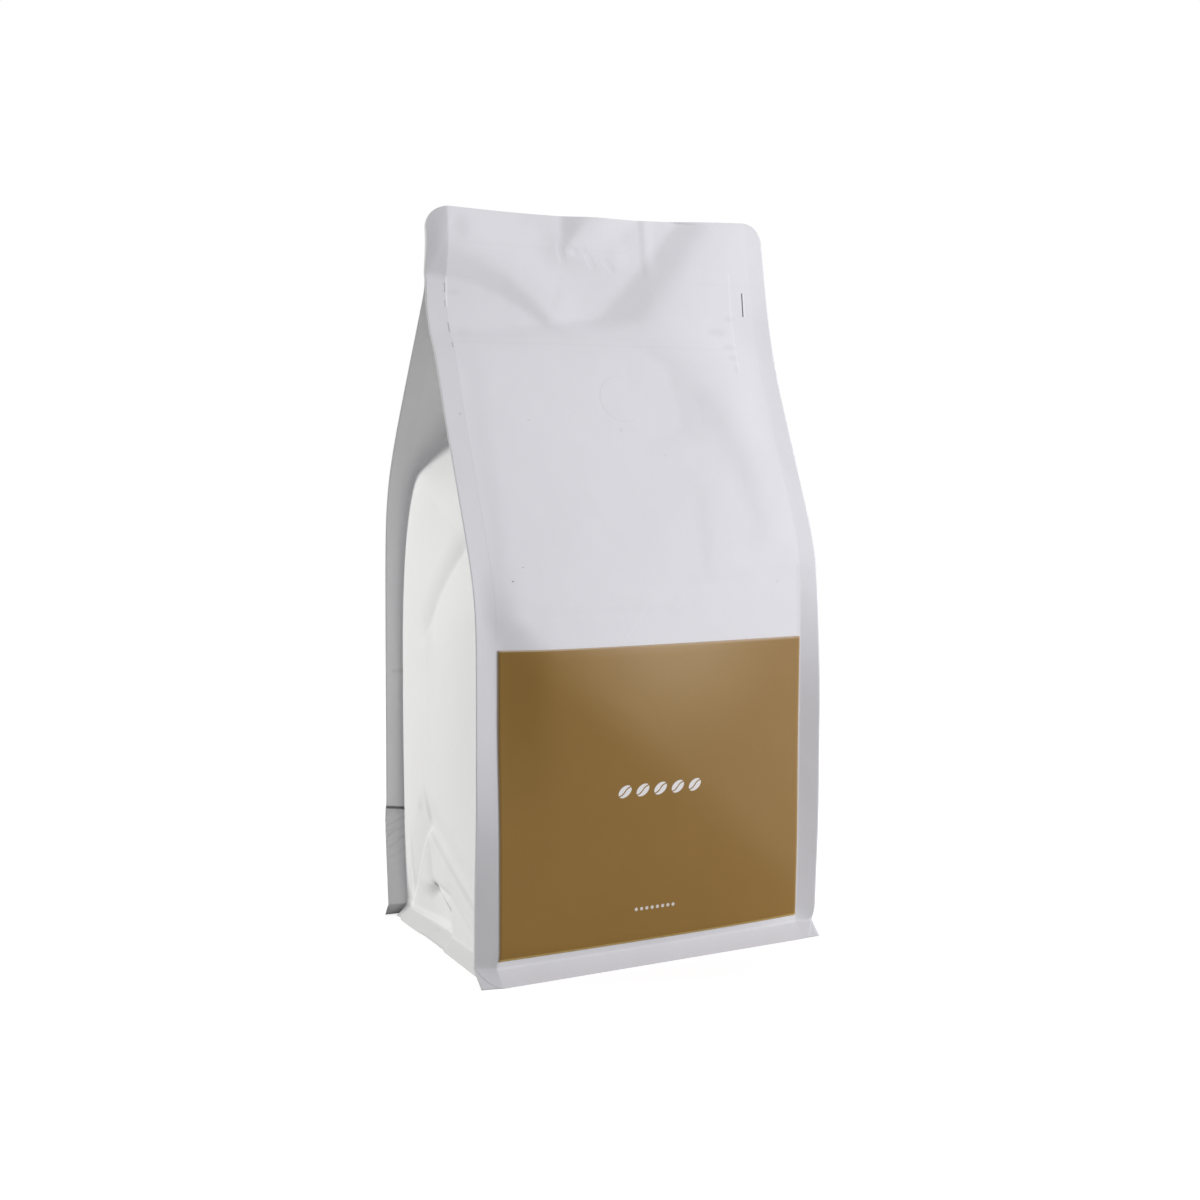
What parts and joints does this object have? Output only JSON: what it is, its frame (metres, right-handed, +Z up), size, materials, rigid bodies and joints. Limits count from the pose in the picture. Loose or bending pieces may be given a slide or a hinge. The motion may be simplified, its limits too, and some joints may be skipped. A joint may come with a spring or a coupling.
{
  "type": "coffee bag",
  "caption": "Shut, filled flat-bottomed coffee bag of matte white film with sealed side fins, a leaning sealed top, folded side gussets and a wide gold-brown paper label.",
  "frame": {"origin": "on the floor under the middle of the bag", "axes": "+Z up, X along the front panel with +X to the right, -Y out of the front panel"},
  "size_m": [0.136, 0.0984, 0.2665],
  "materials": {
    "film": "matte white laminated film with a soft sheen",
    "label_paper": "satin printed paper in gold-brown"
  },
  "bodies": {
    "root": {"bag": "film", "label": "label_paper"}
  },
  "joints": []
}
